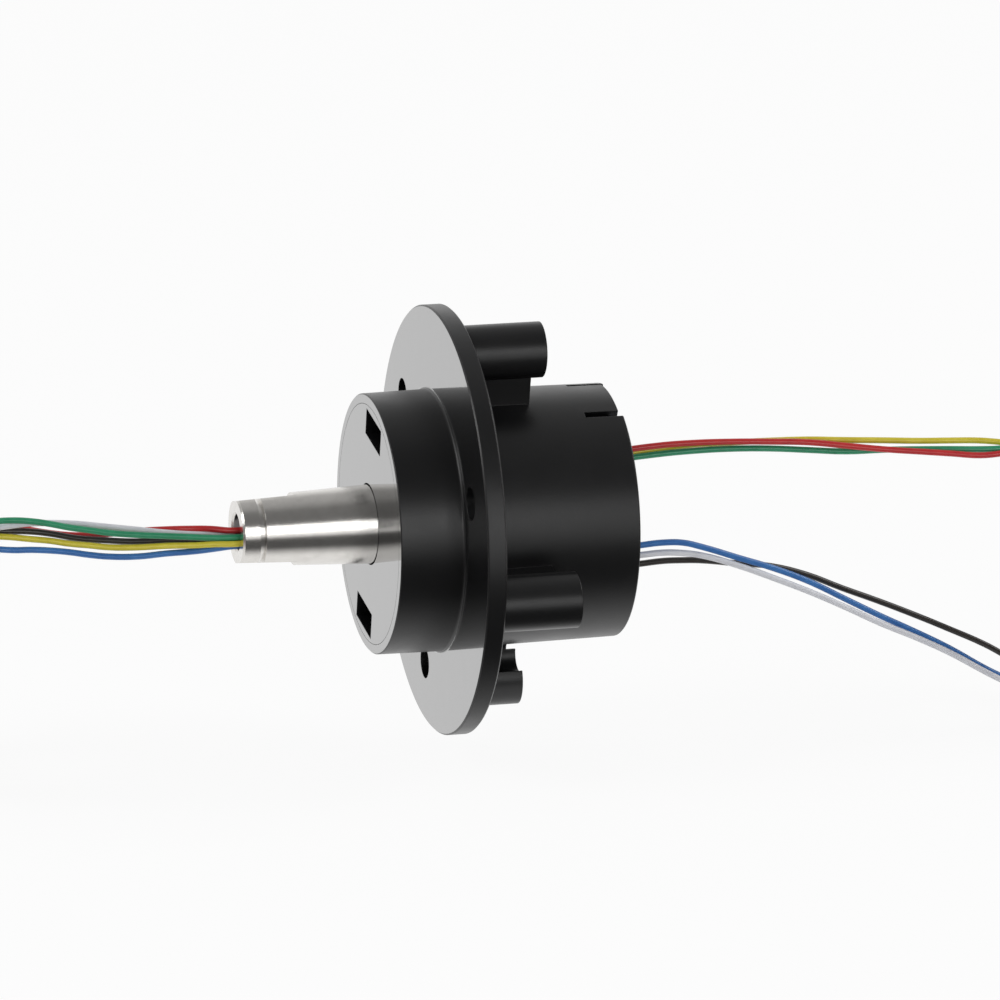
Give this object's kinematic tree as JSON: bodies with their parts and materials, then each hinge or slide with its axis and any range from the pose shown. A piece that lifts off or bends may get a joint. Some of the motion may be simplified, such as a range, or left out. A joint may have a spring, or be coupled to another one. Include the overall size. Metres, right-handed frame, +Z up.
{
  "type": "slip ring",
  "caption": "Flanged capsule slip ring with a hollow tapered shaft, contact rings and brushes inside, and thin colour-coded leads on rotor and stator.",
  "frame": {"origin": "centre of the flange's front face, which is the mounting face, on the spin axis", "axes": "+X along the spin axis from the shaft to the capsule, +Z up, and the shaft points to -X"},
  "size_m": [0.1288, 0.044, 0.047],
  "materials": {
    "black_plastic": "glossy moulded black plastic, satin on the draft walls",
    "cover_plastic": "glossy moulded black plastic",
    "resin": "poured black resin",
    "board": "glass-filled board",
    "gold": "gold plate",
    "steel": "ground bearing steel",
    "cage_brass": "pressed brass",
    "shaft_metal": "turned, nickel plated, satin with fine turning marks",
    "dark_steel": "blackened spring steel",
    "core_plastic": "natural moulded plastic",
    "copper": "enamelled copper",
    "red_insulation": "smooth extruded insulation",
    "green_insulation": "smooth extruded insulation",
    "yellow_insulation": "smooth extruded insulation",
    "blue_insulation": "smooth extruded insulation",
    "white_insulation": "smooth extruded insulation",
    "black_insulation": "smooth extruded insulation",
    "lead_bundle": "bundle of insulated leads",
    "tie_plastic": "moulded tie"
  },
  "bodies": {
    "stator": {"housing": "black_plastic", "front_cover": "cover_plastic", "rear_cover": "black_plastic", "exit_plug_upper": "resin", "exit_plug_lower": "resin", "brush_block_upper": "board", "brush_block_lower": "board", "brushes_upper": "gold", "brushes_lower": "gold", "preload_washer": "steel", "front_bearing_outer_ring": "steel", "rear_bearing_outer_ring": "steel", "stator_lead_red": "red_insulation", "stator_lead_green": "green_insulation", "stator_lead_yellow": "yellow_insulation", "stator_lead_blue": "blue_insulation", "stator_lead_white": "white_insulation", "stator_lead_black": "black_insulation", "stator_lead_coil": "lead_bundle", "stator_coil_tie": "tie_plastic"},
    "rotor": {"shaft": "shaft_metal", "shaft_clip": "dark_steel", "bore_plug": "resin", "rotor_core": "core_plastic", "contact_ring_1": "gold", "contact_ring_2": "gold", "contact_ring_3": "gold", "contact_ring_4": "gold", "contact_ring_5": "gold", "contact_ring_6": "gold", "rotor_wire_tails": "copper", "front_bearing_inner_ring": "steel", "rear_bearing_inner_ring": "steel", "front_bearing_balls": "steel", "rear_bearing_balls": "steel", "front_bearing_cage": "cage_brass", "rear_bearing_cage": "cage_brass", "rotor_lead_red": "red_insulation", "rotor_lead_green": "green_insulation", "rotor_lead_yellow": "yellow_insulation", "rotor_lead_blue": "blue_insulation", "rotor_lead_white": "white_insulation", "rotor_lead_black": "black_insulation", "rotor_lead_coil": "lead_bundle", "rotor_coil_tie": "tie_plastic"}
  },
  "joints": [
    {"name": "rotor_spin", "type": "hinge", "parent": "stator", "child": "rotor", "pos_m": [0, 0, 0], "axis": [1, 0, 0], "continuous": true}
  ]
}
